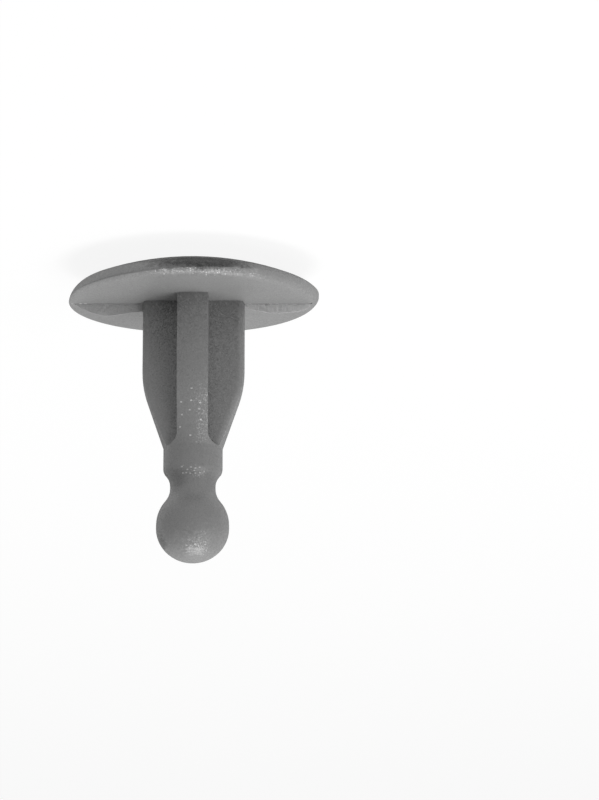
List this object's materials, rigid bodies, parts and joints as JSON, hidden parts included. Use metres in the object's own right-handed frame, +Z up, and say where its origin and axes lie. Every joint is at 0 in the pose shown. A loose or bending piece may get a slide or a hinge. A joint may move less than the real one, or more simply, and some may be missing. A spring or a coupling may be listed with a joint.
{
  "type": "push rivet",
  "caption": "One-piece plastic push rivet: flat domed head, ribbed tapering shank, collar and a ball tip on a neck, for holding trim in a panel hole.",
  "frame": {"origin": "the crown of the domed head, where the rivet stands, on the shank's axis", "axes": "+Z up the shank from the head to the ball, X in the parting plane of the mould, the mould halves open along Y"},
  "size_m": [0.0196, 0.0196, 0.0238],
  "materials": {
    "plastic": "fine spark-eroded grain with small bright glints"
  },
  "bodies": {
    "root": {"push_rivet": "plastic"}
  },
  "joints": []
}
